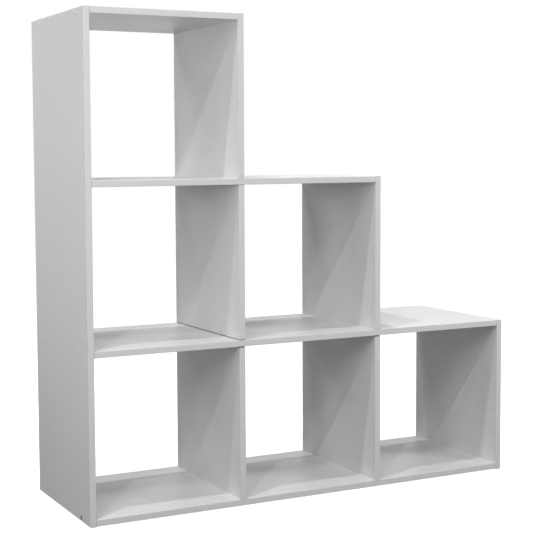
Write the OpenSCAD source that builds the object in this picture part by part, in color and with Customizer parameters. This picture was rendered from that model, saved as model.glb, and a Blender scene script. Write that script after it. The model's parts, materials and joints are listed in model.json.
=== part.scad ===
// Stepped open bookshelf: three cells in the bottom row, two above them and one on top.
// The origin is on the floor, below the middle of the width and of the depth.
// +Z is up, the front faces -Y and the tall end of the steps is at -X.

/* [Cells] */
// Clear width of each cell
cell_w = 292; // [240:1:360]
// Clear height of each cell
cell_h = 295; // [240:1:360]
// Depth of the shelf from front to rear, edging included
shelf_d = 298; // [250:1:400]

/* [Boards] */
// Thickness of every board
board_t = 12; // [12:0.5:19]
// Height of the bottom panel above the floor
base_gap = 1.5; // [0.5:0.1:6]
// How much shorter a divider is than its cell, which leaves a gap over the two lower ones
divider_play = 1; // [1:0.1:2]
// Gap below the middle divider, which its screws hold up off the shelf
middle_divider_lift = 0.7; // [0.1:0.1:0.9]
// Chamfer along the feet of the two panels that stand on the floor
foot_chamfer = 1.2; // [0.5:0.1:3]

/* [Edging] */
// Thickness of the edging strips
edging_t = 1; // [1:0.1:1.8]
// Radius of the two outer corners of a strip
edging_r = 0.8; // [0.2:0.1:0.9]
// Gap where the strip on a free end meets the front and rear strips
edging_joint = 0.1; // [0.05:0.05:0.3]

/* [Screws] */
// Distance from the front or rear of the shelf to a screw's axis
screw_inset = 48; // [30:1:60]
// Length of a screw, head included
screw_len = 40; // [30:1:60]
// Diameter of a screw below its head
screw_d = 5; // [4:0.1:6]
// Diameter of a screw's head
head_d = 8; // [7:0.1:9]
// Height of the straight rim of the head
head_rim = 1; // [0.6:0.1:1.5]
// Height of the cone between the rim and the shank
head_taper = 2.5; // [1.5:0.1:3]
// Depth of the head below the face of its board
head_sink = 1.2; // [0.4:0.1:2]
// Width across the flats of the hexagon socket in the head
socket_af = 3; // [2.5:0.1:3.5]
// Depth of that socket
socket_depth = 2.2; // [1.6:0.1:3]
// Length of the cone at the tip
tip_len = 3; // [2:0.1:5]
// Diameter of the flat end of the tip
tip_d = 1.6; // [1:0.1:2.4]
// Empty depth beyond the tip in a screw's hole
screw_spare = 2; // [1:0.5:4]

/* [Caps] */
// Diameter of a screw cap
cap_d = 12; // [10:0.5:12]
// Height of a cap above the face of its board
cap_t = 1; // [0.7:0.1:2]
// Radius of the rounded rim of a cap
cap_r = 0.5; // [0.2:0.1:0.6]
// Length of a cap's peg inside the socket of the screw
peg_grip = 1.2; // [0.8:0.1:1.5]

/* [Dowels] */
// Diameter of a dowel
dowel_d = 6; // [5:0.5:8]
// Length of a dowel
dowel_len = 30; // [25:1:40]
// Length of a dowel inside the shelf above
dowel_bite = 8; // [6:0.5:9]
// Distance from a screw's axis to the axis of the next dowel
dowel_offset = 32; // [20:1:45]
// Chamfer at both ends of a dowel
dowel_chamfer = 0.8; // [0.3:0.1:1.2]
// Empty depth beyond each end of a dowel in its holes
dowel_spare = 1; // [0.5:0.5:2]

/* [Fits] */
// Play round each screw, each dowel and each cap's peg
fit_gap = 0.1; // [0.05:0.05:0.2]

/* [Hidden] */
$fn = 48;

board_colour = "#dededc";
edging_colour = "#e6e6e4";
cap_colour = "#ececea";
screw_colour = "#a7abb0";
dowel_colour = "#d9b98a";

// Columns of uprights, counted from the left, and levels of flat boards, counted from the floor
left_column = 0;
second_column = left_column + 1;
third_column = second_column + 1;
right_column = third_column + 1;
bottom_level = 0;
lower_level = bottom_level + 1;
upper_level = lower_level + 1;
top_level = upper_level + 1;

// Sides of the shelf where a pair of screws or dowels goes, each as the sign of its y
front_and_rear = [-1, 1];
rear_only = [1];

column_pitch = cell_w + board_t;
level_pitch = cell_h + board_t;
boards_w = right_column * column_pitch + board_t;
function column_x(column) = column * column_pitch - boards_w / 2;
function level_z(level) = base_gap + level * level_pitch;
function level_top(level) = level_z(level) + board_t;

// Length of a flat board from the left side panel to the upright in a column
function span(column) = column * column_pitch - board_t;
left_side_h = level_top(top_level);
lower_right_h = level_top(lower_level);
// Height of an upright that stands on one shelf and covers the end of the next board up
step_h = level_pitch;
divider_h = cell_h - divider_play;
middle_divider_z = level_top(lower_level) + middle_divider_lift;
core_d = shelf_d - 2 * edging_t;

screw_y = shelf_d / 2 - screw_inset;
dowel_y = screw_y - dowel_offset;
head_r = head_d / 2;
screw_r = screw_d / 2;
peg_d = socket_af - 2 * fit_gap;
// How far a cutting shape starts outside the face that it cuts
cut_start = 1;
hexagon = 6;

// A rectangle from the origin with only its far corner rounded
module rounded_corner(width, height, radius) {
    intersection() {
        square([width, height]);
        union() {
            square([width, height - radius]);
            square([width - radius, height]);
            translate([width - radius, height - radius]) circle(r = radius);
        }
    }
}

// Section of an edging strip: board thickness along x, outer face towards +y with rounded corners
module strip_section() {
    translate([board_t / 2, 0])
        for (side = [0, 1]) mirror([side, 0]) rounded_corner(board_t / 2, edging_t, edging_r);
}

// Front view of a board without edging, length along x and thickness along y
module core_outline(length, free_end, on_floor) {
    end = free_end ? length - edging_t : length;
    foot = on_floor
        ? [[foot_chamfer, board_t], [0, board_t - foot_chamfer], [0, foot_chamfer], [foot_chamfer, 0]]
        : [[0, board_t], [0, 0]];
    polygon(concat([[end, 0], [end, board_t]], foot));
}

// The same view with the strip on the free end
module board_outline(length, free_end, on_floor) {
    core_outline(length, free_end, on_floor);
    if (free_end) translate([length - edging_t, 0]) mirror([1, -1]) strip_section();
}

// Turns a front view into a solid that runs from front to rear
module along_depth(depth) {
    rotate([90, 0, 0]) linear_extrude(height = depth, center = true) children();
}

// A board's core lying flat: length along X from the origin, thickness along Z
module core(length, free_end = false, on_floor = false) {
    along_depth(core_d) core_outline(length, free_end, on_floor);
}

// The strips round that core: front, rear and, on a free end, one between them
module edging(length, free_end = false, on_floor = false) {
    end_strip_l = core_d - 2 * edging_joint;
    intersection() {
        union() {
            for (turned = [0, 1])
                mirror([0, turned, 0])
                    translate([0, -core_d / 2, 0])
                        rotate([0, -90, 180]) linear_extrude(height = length) strip_section();
            if (free_end)
                translate([length - edging_t, -end_strip_l / 2, 0])
                    rotate([-90, -90, 0]) linear_extrude(height = end_strip_l) strip_section();
        }
        along_depth(shelf_d) board_outline(length, free_end, on_floor);
    }
}

// Stands a flat board in a column with its foot at height z
module upright(column, z) {
    translate([column_x(column) + board_t, 0, z]) rotate([0, -90, 0]) children();
}

// Lays a flat board on a level, from the left side panel rightwards
module flat(level) {
    translate([column_x(left_column) + board_t, 0, level_z(level)]) children();
}

// Puts what is drawn along +Z at one place near the front and one near the rear
module pair(x, y, z, turn, sides = front_and_rear) {
    for (side = sides) translate([x, side * y, z]) rotate(turn) children();
}

// Screws that run to the right, through the left side panel into a flat board
module at_left_screw_pair(level, sides = front_and_rear) {
    pair(column_x(left_column), screw_y, level_z(level) + board_t / 2, [0, 90, 0], sides) children();
}

module at_left_screws() {
    for (level = [bottom_level:top_level]) at_left_screw_pair(level) children();
}

// Screws that run to the left, through an upright into the end of a flat board
module at_right_screw_pair(column, level) {
    pair(column_x(column) + board_t, screw_y, level_z(level) + board_t / 2, [0, -90, 0]) children();
}

module at_upper_right_screws() {
    at_right_screw_pair(second_column, top_level) children();
}

module at_middle_right_screws() {
    at_right_screw_pair(third_column, upper_level) children();
}

module at_lower_right_screws() {
    for (level = [bottom_level, lower_level]) at_right_screw_pair(right_column, level) children();
}

// Screws that run up, through a flat board into the foot of an upright
module at_rising_screw_pair(column, level) {
    pair(column_x(column) + board_t / 2, screw_y, level_z(level), [0, 0, 0]) children();
}

module at_upper_shelf_screws() {
    at_rising_screw_pair(second_column, upper_level) children();
}

module at_lower_shelf_screws() {
    for (column = [second_column, third_column]) at_rising_screw_pair(column, lower_level) children();
}

module at_bottom_panel_screws() {
    for (column = [second_column, third_column]) at_rising_screw_pair(column, bottom_level) children();
}

// Dowels between the top of a divider and the underside of the shelf on it
module at_dowels(column, level) {
    pair(column_x(column) + board_t / 2, dowel_y, level_z(level) + dowel_bite - dowel_len, [0, 0, 0])
        children();
}

// A screw drawn from the face of its board, which is at z = 0, inwards along +Z
module screw() {
    shank_z = head_rim + head_taper;
    translate([0, 0, head_sink]) difference() {
        rotate_extrude() polygon([
            [0, 0], [head_r, 0], [head_r, head_rim], [screw_r, shank_z],
            [screw_r, screw_len - tip_len], [tip_d / 2, screw_len], [0, screw_len],
        ]);
        translate([0, 0, -cut_start])
            cylinder(d = socket_af / cos(180 / hexagon), h = socket_depth + cut_start, $fn = hexagon);
    }
}

// The hole for that screw, through the first board and on into the second
module screw_hole() {
    rim_z = head_sink + head_rim;
    end_z = head_sink + screw_len + screw_spare;
    rotate_extrude() polygon([
        [0, -cut_start], [head_r + fit_gap, -cut_start], [head_r + fit_gap, rim_z],
        [screw_r + fit_gap, rim_z + head_taper], [screw_r + fit_gap, end_z], [0, end_z],
    ]);
}

// A cap on the face of the board, with its peg in the socket of the screw below
module cap() {
    rotate_extrude() mirror([0, 1]) rounded_corner(cap_d / 2, cap_t, cap_r);
    cylinder(d = peg_d, h = head_sink + peg_grip);
}

// A dowel along +Z from its lower end
module dowel() {
    flat_d = dowel_d - 2 * dowel_chamfer;
    rotate_extrude() polygon([
        [0, 0], [flat_d / 2, 0], [dowel_d / 2, dowel_chamfer],
        [dowel_d / 2, dowel_len - dowel_chamfer], [flat_d / 2, dowel_len], [0, dowel_len],
    ]);
}

// The holes for that dowel in both boards
module dowel_hole() {
    translate([0, 0, -dowel_spare])
        cylinder(d = dowel_d + 2 * fit_gap, h = dowel_len + 2 * dowel_spare);
}

module left_side_panel() {
    color(board_colour) difference() {
        upright(left_column, 0) core(left_side_h, free_end = true, on_floor = true);
        at_left_screws() screw_hole();
    }
}

module left_side_edging() {
    color(edging_colour)
        upright(left_column, 0) edging(left_side_h, free_end = true, on_floor = true);
}

module top_panel() {
    color(board_colour) difference() {
        flat(top_level) core(span(second_column));
        at_left_screw_pair(top_level) screw_hole();
        at_upper_right_screws() screw_hole();
    }
}

module top_panel_edging() {
    color(edging_colour) flat(top_level) edging(span(second_column));
}

module upper_right_panel() {
    color(board_colour) difference() {
        upright(second_column, level_top(upper_level)) core(step_h, free_end = true);
        at_upper_right_screws() screw_hole();
        at_upper_shelf_screws() screw_hole();
    }
}

module upper_right_edging() {
    color(edging_colour)
        upright(second_column, level_top(upper_level)) edging(step_h, free_end = true);
}

module upper_shelf() {
    color(board_colour) difference() {
        flat(upper_level) core(span(third_column));
        at_left_screw_pair(upper_level) screw_hole();
        at_middle_right_screws() screw_hole();
        at_upper_shelf_screws() screw_hole();
        at_dowels(second_column, upper_level) dowel_hole();
    }
}

module upper_shelf_edging() {
    color(edging_colour) flat(upper_level) edging(span(third_column));
}

module middle_divider() {
    color(board_colour) difference() {
        upright(second_column, middle_divider_z) core(divider_h);
        at_lower_shelf_screws() screw_hole();
        at_dowels(second_column, upper_level) dowel_hole();
    }
}

module middle_divider_edging() {
    color(edging_colour) upright(second_column, middle_divider_z) edging(divider_h);
}

module middle_right_panel() {
    color(board_colour) difference() {
        upright(third_column, level_top(lower_level)) core(step_h, free_end = true);
        at_middle_right_screws() screw_hole();
        at_lower_shelf_screws() screw_hole();
    }
}

module middle_right_edging() {
    color(edging_colour)
        upright(third_column, level_top(lower_level)) edging(step_h, free_end = true);
}

module lower_shelf() {
    color(board_colour) difference() {
        flat(lower_level) core(span(right_column));
        at_left_screw_pair(lower_level) screw_hole();
        at_lower_right_screws() screw_hole();
        at_lower_shelf_screws() screw_hole();
        at_dowels(second_column, lower_level) dowel_hole();
        at_dowels(third_column, lower_level) dowel_hole();
    }
}

module lower_shelf_edging() {
    color(edging_colour) flat(lower_level) edging(span(right_column));
}

module lower_left_divider() {
    color(board_colour) difference() {
        upright(second_column, level_top(bottom_level)) core(divider_h);
        at_bottom_panel_screws() screw_hole();
        at_dowels(second_column, lower_level) dowel_hole();
    }
}

module lower_left_divider_edging() {
    color(edging_colour) upright(second_column, level_top(bottom_level)) edging(divider_h);
}

module lower_right_divider() {
    color(board_colour) difference() {
        upright(third_column, level_top(bottom_level)) core(divider_h);
        at_bottom_panel_screws() screw_hole();
        at_dowels(third_column, lower_level) dowel_hole();
    }
}

module lower_right_divider_edging() {
    color(edging_colour) upright(third_column, level_top(bottom_level)) edging(divider_h);
}

module lower_right_panel() {
    color(board_colour) difference() {
        upright(right_column, 0) core(lower_right_h, free_end = true, on_floor = true);
        at_lower_right_screws() screw_hole();
    }
}

module lower_right_edging() {
    color(edging_colour)
        upright(right_column, 0) edging(lower_right_h, free_end = true, on_floor = true);
}

module bottom_panel() {
    color(board_colour) difference() {
        flat(bottom_level) core(span(right_column));
        at_left_screw_pair(bottom_level) screw_hole();
        at_lower_right_screws() screw_hole();
        at_bottom_panel_screws() screw_hole();
    }
}

module bottom_panel_edging() {
    color(edging_colour) flat(bottom_level) edging(span(right_column));
}

module left_side_screws() {
    color(screw_colour) at_left_screws() screw();
}

module upper_right_screws() {
    color(screw_colour) at_upper_right_screws() screw();
}

module middle_right_screws() {
    color(screw_colour) at_middle_right_screws() screw();
}

module lower_right_screws() {
    color(screw_colour) at_lower_right_screws() screw();
}

module upper_shelf_screws() {
    color(screw_colour) at_upper_shelf_screws() screw();
}

module lower_shelf_screws() {
    color(screw_colour) at_lower_shelf_screws() screw();
}

module bottom_panel_screws() {
    color(screw_colour) at_bottom_panel_screws() screw();
}

// The lowest screw at the front of the left side panel has lost its cap
module left_side_caps() {
    color(cap_colour) {
        for (level = [lower_level:top_level]) at_left_screw_pair(level) cap();
        at_left_screw_pair(bottom_level, rear_only) cap();
    }
}

module upper_right_caps() {
    color(cap_colour) at_upper_right_screws() cap();
}

module middle_right_caps() {
    color(cap_colour) at_middle_right_screws() cap();
}

module lower_right_caps() {
    color(cap_colour) at_lower_right_screws() cap();
}

module middle_divider_dowels() {
    color(dowel_colour) at_dowels(second_column, upper_level) dowel();
}

module lower_left_divider_dowels() {
    color(dowel_colour) at_dowels(second_column, lower_level) dowel();
}

module lower_right_divider_dowels() {
    color(dowel_colour) at_dowels(third_column, lower_level) dowel();
}

left_side_panel();
top_panel();
upper_right_panel();
upper_shelf();
middle_divider();
middle_right_panel();
lower_shelf();
lower_left_divider();
lower_right_divider();
lower_right_panel();
bottom_panel();
left_side_edging();
top_panel_edging();
upper_right_edging();
upper_shelf_edging();
middle_divider_edging();
middle_right_edging();
lower_shelf_edging();
lower_left_divider_edging();
lower_right_divider_edging();
lower_right_edging();
bottom_panel_edging();
left_side_screws();
upper_right_screws();
middle_right_screws();
lower_right_screws();
upper_shelf_screws();
lower_shelf_screws();
bottom_panel_screws();
left_side_caps();
upper_right_caps();
middle_right_caps();
lower_right_caps();
middle_divider_dowels();
lower_left_divider_dowels();
lower_right_divider_dowels();
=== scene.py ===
"""A stepped open bookshelf of six square cells in thin white board, dressed and lit for a studio view."""
import json
import math

import bpy
from mathutils import Matrix, Vector


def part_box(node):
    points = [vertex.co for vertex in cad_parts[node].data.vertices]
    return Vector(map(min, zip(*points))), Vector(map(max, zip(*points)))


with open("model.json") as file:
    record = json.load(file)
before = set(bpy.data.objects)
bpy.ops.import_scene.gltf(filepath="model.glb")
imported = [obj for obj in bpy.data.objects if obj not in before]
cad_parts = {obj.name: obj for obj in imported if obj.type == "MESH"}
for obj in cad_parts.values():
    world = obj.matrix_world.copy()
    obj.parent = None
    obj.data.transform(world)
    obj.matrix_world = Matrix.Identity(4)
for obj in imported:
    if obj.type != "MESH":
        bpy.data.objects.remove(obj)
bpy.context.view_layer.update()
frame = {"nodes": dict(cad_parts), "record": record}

MM = 0.001

# Photograph: a square frame, with the point that the lens looks at straight on, in its pixels
FRAME_PX = 533
OPTICAL_CENTRE_PX = (243.2, 247.1)

# Camera
CAMERA_PLACE = (-1.220, -2.2695, 0.6717)
CAMERA_TURN = math.radians(-26.782)
CAMERA_DROP = math.radians(4.189)
CAMERA_ROLL = math.radians(-0.338)
SENSOR_MM = 36.0
LENS_MM = 85.19

# Axes, and the two ends of a piece along one
X, Y, Z = 0, 1, 2
LOW, HIGH = -1, 1

# Boards that lie flat
FLAT_BOARDS = ("top_panel", "upper_shelf", "lower_shelf", "bottom_panel")

# Edging of the upright panels whose top end has a strip as well
TOPPED_EDGING = ("left_side_edging", "upper_right_edging", "middle_right_edging", "lower_right_edging")

# Dividers that stop short of the next board, and the end where a painted shade line stands for the shadow in
# the gap
OPEN_ENDS = {"middle_divider": LOW, "lower_left_divider": HIGH, "lower_right_divider": HIGH}


def link_object(name, data):
    thing = bpy.data.objects.new(name, data)
    bpy.context.scene.collection.objects.link(thing)
    return thing


def build_camera():
    """Sets the camera where the photograph was taken from, with the same crop of the lens's picture."""
    data = bpy.data.cameras.new("photo_camera")
    data.sensor_fit = "HORIZONTAL"
    data.sensor_width = SENSOR_MM
    data.lens = LENS_MM
    data.shift_x = 0.5 - OPTICAL_CENTRE_PX[X] / FRAME_PX
    data.shift_y = OPTICAL_CENTRE_PX[Y] / FRAME_PX - 0.5
    camera = link_object("photo_camera", data)
    turn = Matrix.Rotation(CAMERA_TURN, 4, "Z")
    tilt = Matrix.Rotation(math.pi / 2 - CAMERA_DROP, 4, "X")
    roll = Matrix.Rotation(CAMERA_ROLL, 4, "Z")
    camera.matrix_world = Matrix.Translation(CAMERA_PLACE) @ turn @ tilt @ roll
    bpy.context.scene.camera = camera


class Nodes:
    """The node tree of a material or world, with short calls for the nodes that the finishes share."""

    def __init__(self, owner):
        owner.use_nodes = True
        self.owner = owner
        self.tree = owner.node_tree
        self.tree.nodes.clear()

    def add(self, kind, **settings):
        node = self.tree.nodes.new(kind)
        for key, value in settings.items():
            setattr(node, key, value)
        return node

    def link(self, source, target):
        self.tree.links.new(source, target)

    def put(self, socket, value):
        """Sets a socket to a number, or links it to another node's output."""
        if isinstance(value, bpy.types.NodeSocket):
            self.link(value, socket)
        else:
            socket.default_value = value

    def math(self, operation, *values):
        node = self.add("ShaderNodeMath", operation=operation)
        for socket, value in zip(node.inputs, values):
            self.put(socket, value)
        return node.outputs["Value"]

    def where(self, output):
        """Each point's place, as "Object", or the way it faces, as "Normal", both along the CAD's axes."""
        return self.add("ShaderNodeTexCoord").outputs[output]

    def along(self, output, axis):
        """One axis of what where() gives."""
        node = self.add("ShaderNodeSeparateXYZ")
        self.link(self.where(output), node.inputs["Vector"])
        return node.outputs[axis]

    def noise(self, size, detail=2.0, stretch=(1.0, 1.0, 1.0), distortion=0.0):
        """Noise from 0 to 1, with features of about this size in metres, longer along a stretched axis."""
        place = self.add("ShaderNodeMapping")
        self.link(self.where("Object"), place.inputs["Vector"])
        place.inputs["Scale"].default_value = [1.0 / s for s in stretch]
        node = self.add("ShaderNodeTexNoise")
        self.link(place.outputs["Vector"], node.inputs["Vector"])
        node.inputs["Scale"].default_value = 1.0 / size
        node.inputs["Detail"].default_value = detail
        node.inputs["Distortion"].default_value = distortion
        return node.outputs["Fac"]

    def span(self, value, low, high, start=0.0, end=1.0):
        """Maps value from start..end to low..high, held at both ends."""
        node = self.add("ShaderNodeMapRange")
        self.put(node.inputs["Value"], value)
        for key, number in (("From Min", start), ("From Max", end), ("To Min", low), ("To Max", high)):
            node.inputs[key].default_value = number
        return node.outputs["Result"]

    def patches(self, size, low, high, detail=2.0):
        """Noise from low to high, with features of about this size in metres."""
        return self.span(self.noise(size, detail), low, high)

    def neutral(self, level):
        """A grey of this level."""
        node = self.add("ShaderNodeCombineColor")
        for channel in ("Red", "Green", "Blue"):
            self.link(level, node.inputs[channel])
        return node.outputs["Color"]

    def mix(self, share, first, second):
        """Mixes two colours, each a plain colour or another node's output."""
        node = self.add("ShaderNodeMix", data_type="RGBA")
        self.put(node.inputs["Factor"], share)
        self.put(node.inputs["A"], first)
        self.put(node.inputs["B"], second)
        colours = [s for s in node.outputs if s.type == "RGBA"]
        return colours[0]

    def bump(self, height, depth, below=None):
        """Raises the surface by height, from 0 to 1, times depth in metres, on top of another bump."""
        node = self.add("ShaderNodeBump")
        node.inputs["Strength"].default_value = 1.0
        node.inputs["Distance"].default_value = depth
        self.link(height, node.inputs["Height"])
        if below is not None:
            self.link(below, node.inputs["Normal"])
        return node.outputs["Normal"]

    def relief(self, size, depth, detail=2.0, below=None):
        """Soft bumps of about this size and depth in metres, on top of another bump."""
        return self.bump(self.noise(size, detail), depth, below)

    def finish(self, colour, roughness, normal, metallic=0.0):
        """Adds a material's surface shader and returns the material."""
        shader = self.add("ShaderNodeBsdfPrincipled")
        self.put(shader.inputs["Base Color"], colour)
        self.put(shader.inputs["Roughness"], roughness)
        self.link(normal, shader.inputs["Normal"])
        shader.inputs["Metallic"].default_value = metallic
        out = self.add("ShaderNodeOutputMaterial")
        self.link(shader.outputs["BSDF"], out.inputs["Surface"])
        return self.owner


def material_nodes(name):
    return Nodes(bpy.data.materials.new(name))


def grey(level):
    return (level, level, level, 1.0)


# Greys of the plain surfaces, as the share of light that comes back
MELAMINE = 0.80
EDGING = 0.82
CAP_PLASTIC = 0.80

# Pairs of colours that a finish wanders between
CHIPBOARD = ((0.06, 0.05, 0.04, 1.0), (0.20, 0.16, 0.12, 1.0))
ZINC = ((0.24, 0.25, 0.26, 1.0), (0.44, 0.45, 0.47, 1.0))
BEECH = ((0.44, 0.27, 0.13, 1.0), (0.66, 0.47, 0.27, 1.0))

# Satin sheen: size of its patches, then the roughness of the shiniest and of the dullest one
MELAMINE_SATIN = (30 * MM, 0.38, 0.46)
EDGING_SATIN = (20 * MM, 0.34, 0.42)
CAP_SATIN = (5 * MM, 0.38, 0.46)

# Roughness of the others, which goes with their colour
ZINC_ROUGHNESS = (0.36, 0.55)
BEECH_ROUGHNESS = (0.55, 0.7)

# How much rougher bare chipboard is than melamine
CHIPBOARD_ROUGHER = 0.45

# Pearl grain of the melamine: size of its features, how far they sway the grey, and their detail
PEARL_GRAIN = (
    (3.5 * MM, 0.12, 2.0),
    (9 * MM, 0.012, 2.0),
    (180 * MM, 0.006, 1.0),
)

# Speckle of the plastics: size of its features, then the darkest and the palest grey
EDGING_SPECKLE = (2.5 * MM, 0.95 * EDGING, 1.05 * EDGING)
CAP_SPECKLE = (3 * MM, 0.99 * CAP_PLASTIC, 1.01 * CAP_PLASTIC)

# Relief: size of its features and how high they stand
MELAMINE_PORES = (1.6 * MM, 0.02 * MM)
MELAMINE_WAVES = (7 * MM, 0.05 * MM)
EDGING_RELIEF = (2 * MM, 0.02 * MM)
CAP_RELIEF = (1.5 * MM, 0.01 * MM)
ZINC_RELIEF = (0.4 * MM, 0.01 * MM)

# How squarely a spot of a board faces across it, from 0 to 1, before it is melamine
FACE_SQUARENESS = 0.6

# Chips of the chipboard: size, detail, thickness as a share of the size, raggedness, and the part of the
# noise that runs from dark to pale
CHIP_SIZE = 3 * MM
CHIP_DETAIL = 6.0
CHIP_FLATNESS = 0.35
CHIP_RAGGEDNESS = 0.8
CHIP_RANGE = (0.3, 0.7)

# Dark lines: at a strip's cut ends and on a board beside its strips. Painted shade at a divider's open end,
# for the shadow in the gap there. How wide each is, and what is left of the grey there.
JOINT_LINE = 0.3 * MM
JOINT_SHADE = 0.35
# Painted shade: a dark band at a divider's open end stands for the shadow in the gap to the next board
OPEN_END_SHADE_WIDTH = 1.0 * MM
OPEN_END_PAINTED_SHADE = 0.1

# Painted shade on the upper side of a cap's rim, which tones down the highlight the overhead lamps give it:
# what is left of the cap's grey there, and how far up a spot has to face, from 0 to 1, to be fully shaded
CAP_RIM_TOP_PAINTED_SHADE = 0.45
CAP_RIM_TOP_SHADE_SLOPE = 0.6

# Crystals of the zinc: their size
ZINC_CRYSTAL = 1.2 * MM

# Fibres of the beech: thickness, length as a multiple of it, and how high they stand
FIBRE_THICKNESS = 0.5 * MM
FIBRE_LENGTH = 14.0
FIBRE_RELIEF = 0.03 * MM

# Detail of the noise for crystals and fibres
NATURAL_DETAIL = 4.0


def darken_ends(n, level, node, axis, reach, shade, ends=(LOW, HIGH)):
    """Multiplies a grey by this shade within reach of a piece's cut ends along this axis."""
    corners = dict(zip((LOW, HIGH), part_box(node)))
    near = 0.0
    for end in ends:
        outward = n.math("MULTIPLY", n.along("Object", axis), float(end))
        near = n.math("ADD", near, n.math("GREATER_THAN", outward, end * corners[end][axis] - reach))
    return n.math("MULTIPLY", level, n.span(near, 1.0, shade))


def melamine_board(node):
    """Melamine with its pearl grain on a board's two faces, and bare chipboard where it is cut or bored."""
    n = material_nodes(node)
    sway = 0.0
    for size, share, detail in PEARL_GRAIN:
        sway = n.math("ADD", sway, n.patches(size, -share, share, detail))
    level = n.math("MULTIPLY_ADD", sway, MELAMINE, MELAMINE)
    level = darken_ends(n, level, node, Y, JOINT_LINE, JOINT_SHADE)
    # Painted shade: darkens the board's open end, where the gap to the next board lies in shadow
    if node in OPEN_ENDS:
        level = darken_ends(n, level, node, Z, OPEN_END_SHADE_WIDTH, OPEN_END_PAINTED_SHADE, (OPEN_ENDS[node],))

    # Chipboard: pale chips of many sizes, lying flat in the board
    across = Z if node in FLAT_BOARDS else X
    lie = tuple(CHIP_FLATNESS if axis == across else 1.0 for axis in (X, Y, Z))
    chips = n.noise(CHIP_SIZE, CHIP_DETAIL, lie, CHIP_RAGGEDNESS)
    wood = n.mix(n.span(chips, 0.0, 1.0, *CHIP_RANGE), *CHIPBOARD)
    squareness = n.math("ABSOLUTE", n.along("Normal", across))
    is_face = n.math("GREATER_THAN", squareness, FACE_SQUARENESS)

    pores = n.relief(*MELAMINE_PORES)
    relief = n.relief(*MELAMINE_WAVES, detail=1.0, below=pores)
    roughness = n.math("ADD", n.patches(*MELAMINE_SATIN), n.span(is_face, CHIPBOARD_ROUGHER, 0.0))
    return n.finish(n.mix(is_face, wood, n.neutral(level)), roughness, relief)


def edging_strip(node):
    """Satin plastic strip. Its two cut ends stay a hair dark, where they butt against the next board."""
    n = material_nodes(node)
    board = node.removesuffix("_edging")
    level = n.patches(*EDGING_SPECKLE)
    length = X if board in FLAT_BOARDS else Z
    ends = (LOW,) if node in TOPPED_EDGING else (LOW, HIGH)
    level = darken_ends(n, level, node, length, JOINT_LINE, JOINT_SHADE, ends)
    # Painted shade: darkens the strip's open end, where the gap to the next board lies in shadow
    if board in OPEN_ENDS:
        level = darken_ends(n, level, node, Z, OPEN_END_SHADE_WIDTH, OPEN_END_PAINTED_SHADE, (OPEN_ENDS[board],))
    return n.finish(n.neutral(level), n.patches(*EDGING_SATIN), n.relief(*EDGING_RELIEF))


def cap_plastic():
    """Smooth injection-moulded plastic, as pale and satin as the board, with painted shade on the upper side
    of the rim that tones down its lit highlight.
    """
    n = material_nodes("cap_plastic")
    # Painted shade: the rim is darker the more it faces up, against its highlight from the lamps overhead
    rim_top_shade = n.span(n.along("Normal", Z), 1.0, CAP_RIM_TOP_PAINTED_SHADE, 0.0, CAP_RIM_TOP_SHADE_SLOPE)
    level = n.math("MULTIPLY", n.patches(*CAP_SPECKLE), rim_top_shade)
    return n.finish(n.neutral(level), n.patches(*CAP_SATIN), n.relief(*CAP_RELIEF))


def zinc_screw():
    """Dull zinc plating, with the cloudy crystals of the bath."""
    n = material_nodes("zinc_screw")
    cloud = n.noise(ZINC_CRYSTAL, NATURAL_DETAIL)
    return n.finish(n.mix(cloud, *ZINC), n.span(cloud, *ZINC_ROUGHNESS), n.relief(*ZINC_RELIEF), metallic=1.0)


def beech_dowel():
    """Turned beech, with fine fibres along the peg."""
    n = material_nodes("beech_dowel")
    fibres = n.noise(FIBRE_THICKNESS, NATURAL_DETAIL, stretch=(1.0, 1.0, FIBRE_LENGTH))
    return n.finish(n.mix(fibres, *BEECH), n.span(fibres, *BEECH_ROUGHNESS), n.bump(fibres, FIBRE_RELIEF))


def dress_nodes():
    """Gives every piece its finish. Each board and each strip has its own, because of its ends.

    The caps cast no shadow: the real ones hardly stand proud, and show only as faint pale marks.
    """
    shared = {"cap": cap_plastic(), "screw": zinc_screw(), "dowel": beech_dowel()}
    own = {"board": melamine_board, "edging": edging_strip}
    for row in frame["record"]["subparts"]:
        node, kind = row["node"], row["material_slot"]
        material = own[kind](node) if kind in own else shared[kind]
        piece = frame["nodes"][node]
        piece.visible_shadow = kind != "cap"
        for slot in piece.material_slots:
            slot.material = material


# Floor: half its width in metres, its own glow, and its colour as the share of light that comes back
FLOOR_HALF = 30.0
FLOOR_GLOW = 0.92
FLOOR_GREY = 0.8


def build_floor():
    """A wide, plain, white floor. It is seen, but neither shades nor lights the shelf."""
    mesh = bpy.data.meshes.new("floor")
    corners = ((-1, -1), (1, -1), (1, 1), (-1, 1))
    mesh.from_pydata([(x * FLOOR_HALF, y * FLOOR_HALF, 0.0) for x, y in corners], [], [(0, 1, 2, 3)])
    floor = link_object("floor", mesh)
    n = material_nodes("pale_floor")
    n.owner.cycles.emission_sampling = "NONE"
    glow = n.add("ShaderNodeEmission")
    glow.inputs["Strength"].default_value = FLOOR_GLOW
    matt = n.add("ShaderNodeBsdfDiffuse")
    matt.inputs["Color"].default_value = grey(FLOOR_GREY)
    both = n.add("ShaderNodeAddShader")
    n.link(glow.outputs["Emission"], both.inputs[0])
    n.link(matt.outputs["BSDF"], both.inputs[1])
    out = n.add("ShaderNodeOutputMaterial")
    n.link(both.outputs["Shader"], out.inputs["Surface"])
    mesh.materials.append(n.owner)
    for ray in ("diffuse", "glossy", "transmission", "shadow"):
        setattr(floor, "visible_" + ray, False)


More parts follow.
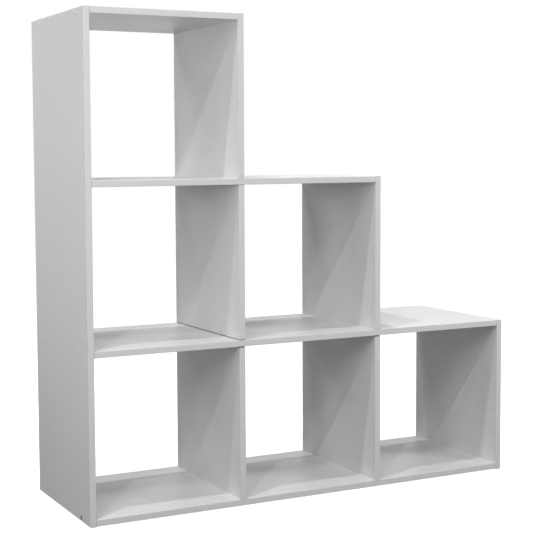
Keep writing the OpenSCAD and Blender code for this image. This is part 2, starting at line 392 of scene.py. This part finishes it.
def build_world():
    """A white surround. The camera sees it and the satin boards mirror it faintly, but it lights nothing."""
    world = bpy.data.worlds.new("white_surround")
    bpy.context.scene.world = world
    world.cycles.sampling_method = "NONE"
    n = Nodes(world)
    ray = n.add("ShaderNodeLightPath")
    seen = n.math("MAXIMUM", ray.outputs["Is Glossy Ray"], ray.outputs["Is Camera Ray"])
    sky = n.add("ShaderNodeBackground")
    sky.inputs["Color"].default_value = grey(1.0)
    n.link(seen, sky.inputs["Strength"])
    out = n.add("ShaderNodeOutputWorld")
    n.link(sky.outputs["Background"], out.inputs["Surface"])


# Brightness of a lamp: the share of white that it gives a white face turned to it, two metres away from a
# lamp in the room, and anywhere for a far one. These are the powers for a brightness of 1.
BALL_DISTANCE = 2.0
BALL_POWER = (2.0 * math.pi * BALL_DISTANCE) ** 2
FAR_POWER = math.pi

# Three like lamps in a row under the ceiling, which throw the crisp shadows: places on the plan in metres
CEILING_PLACES = ((-0.3, 0.7), (-1.3, -0.75), (-2.3, -2.75))
CEILING_HEIGHT = 3.6
CEILING_BRIGHTNESS = 0.8
CEILING_RADIUS = 0.03

# Soft light from far away: name, turn from the front to the right and height in degrees, brightness
FAR_LAMPS = (
    ("key", -20.0, 60.0, 0.15),
    ("right", 100.0, 0.0, 0.25),
)
FAR_WIDTH = math.radians(10.0)

# Soft fill lamps around the shelf: name, place in metres, brightness
FILL_LAMPS = (
    ("front_left", (-0.6, -1.5, 1.5), 0.14),
    ("left_corner", (-1.3, -1.0, 0.8), 0.09),
    ("left_side", (-1.2, -0.3, 0.6), 0.02),
    ("rear_left", (-1.0, 0.6, 1.8), 0.08),
    ("front_right", (0.9, -0.8, 0.9), 0.07),
    ("low_front", (0.2, -1.5, 0.2), 0.07),
)
FILL_RADIUS = 0.15

# A lamp behind the left side, under a shade whose edge falls across the foot of the left face
SHADED_PLACE = (-0.85, 0.6, 0.75)
SHADED_AIM = (0.9, -0.45, -0.05)
SHADED_CONE = math.radians(90.0)
SHADED_BLEND = 0.03
SHADED_BRIGHTNESS = 0.02
SHADED_RADIUS = 0.1


def add_lamp(name, kind, energy):
    """A lamp that neither the camera nor the boards see."""
    data = bpy.data.lights.new(name, kind)
    data.energy = energy
    lamp = link_object(name, data)
    lamp.visible_camera = False
    lamp.visible_glossy = False
    return lamp


def add_ball(name, kind, place, brightness, radius):
    """A lamp at this place in the room."""
    lamp = add_lamp(name, kind, BALL_POWER * brightness)
    lamp.data.shadow_soft_size = radius
    lamp.location = place
    return lamp


def build_lights():
    for number, (x, y) in enumerate(CEILING_PLACES, start=1):
        add_ball(f"ceiling_{number}", "POINT", (x, y, CEILING_HEIGHT), CEILING_BRIGHTNESS, CEILING_RADIUS)
    for name, turn, height, brightness in FAR_LAMPS:
        lamp = add_lamp(name, "SUN", FAR_POWER * brightness)
        lamp.data.angle = FAR_WIDTH
        lamp.rotation_euler = (math.radians(90.0 - height), 0.0, math.radians(turn))
    for name, place, brightness in FILL_LAMPS:
        add_ball(name, "POINT", place, brightness, FILL_RADIUS)
    shaded = add_ball("rear_left_shaded", "SPOT", SHADED_PLACE, SHADED_BRIGHTNESS, SHADED_RADIUS)
    shaded.data.spot_size = SHADED_CONE
    shaded.data.spot_blend = SHADED_BLEND
    shaded.rotation_euler = Vector(SHADED_AIM).to_track_quat("-Z", "Y").to_euler()


bpy.context.scene.view_settings.view_transform = "Standard"
build_camera()
dress_nodes()
build_floor()
build_world()
build_lights()
